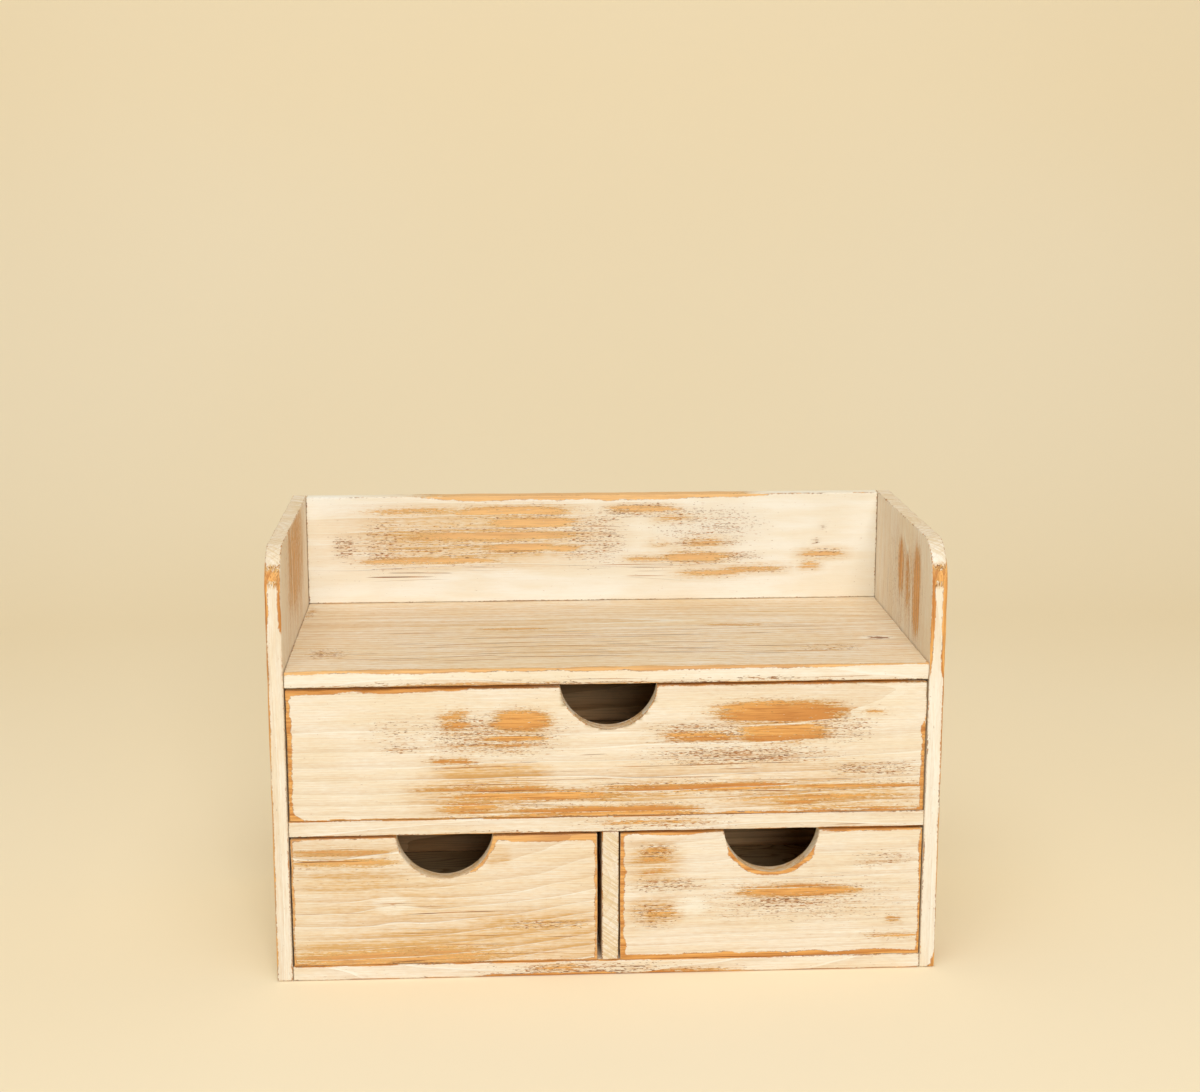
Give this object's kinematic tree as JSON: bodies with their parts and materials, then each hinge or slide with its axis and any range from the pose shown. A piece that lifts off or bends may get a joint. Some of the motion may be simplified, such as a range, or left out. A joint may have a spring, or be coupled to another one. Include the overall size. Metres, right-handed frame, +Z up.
{
  "type": "desktop mini drawers",
  "caption": "Whitewashed wooden desktop organizer: an open tray above a wide drawer and two small side-by-side drawers, each pulled by a half-round finger notch.",
  "frame": {"origin": "centre of the footprint, on the surface that the case stands on", "axes": "+Z up; the drawers' fronts face -Y and the drawers slide out along -Y; +X is to the right for someone who looks at the fronts"},
  "size_m": [0.35, 0.159, 0.232],
  "materials": {
    "whitewashed_pine": "dry-brushed white paint over pine, sanded through at the edges and in streaks",
    "drawer_pine": "thin grey-brown wash on sawn pine",
    "plywood": "plain, unsanded",
    "nail_steel": "drawn wire, dull"
  },
  "bodies": {
    "cabinet": {"left_side_panel": "whitewashed_pine", "right_side_panel": "whitewashed_pine", "top_shelf": "whitewashed_pine", "middle_shelf": "whitewashed_pine", "base_board": "whitewashed_pine", "divider": "whitewashed_pine", "back_rail": "whitewashed_pine", "rear_panel": "plywood", "left_panel_nails": "nail_steel", "right_panel_nails": "nail_steel", "divider_nails": "nail_steel", "rear_panel_tacks": "nail_steel"},
    "wide_drawer": {"wide_drawer_front": "whitewashed_pine", "wide_drawer_left_side": "drawer_pine", "wide_drawer_right_side": "drawer_pine", "wide_drawer_back": "drawer_pine", "wide_drawer_bottom": "plywood", "wide_drawer_nails": "nail_steel"},
    "left_drawer": {"left_drawer_front": "whitewashed_pine", "left_drawer_left_side": "drawer_pine", "left_drawer_right_side": "drawer_pine", "left_drawer_back": "drawer_pine", "left_drawer_bottom": "plywood", "left_drawer_nails": "nail_steel"},
    "right_drawer": {"right_drawer_front": "whitewashed_pine", "right_drawer_left_side": "drawer_pine", "right_drawer_right_side": "drawer_pine", "right_drawer_back": "drawer_pine", "right_drawer_bottom": "plywood", "right_drawer_nails": "nail_steel"}
  },
  "joints": [
    {"name": "wide_drawer_slide", "type": "slide", "parent": "cabinet", "child": "wide_drawer", "axis": [0, -1, 0], "range_m": [0, 0.115]},
    {"name": "left_drawer_slide", "type": "slide", "parent": "cabinet", "child": "left_drawer", "axis": [0, -1, 0], "range_m": [0, 0.115]},
    {"name": "right_drawer_slide", "type": "slide", "parent": "cabinet", "child": "right_drawer", "axis": [0, -1, 0], "range_m": [0, 0.115]}
  ]
}
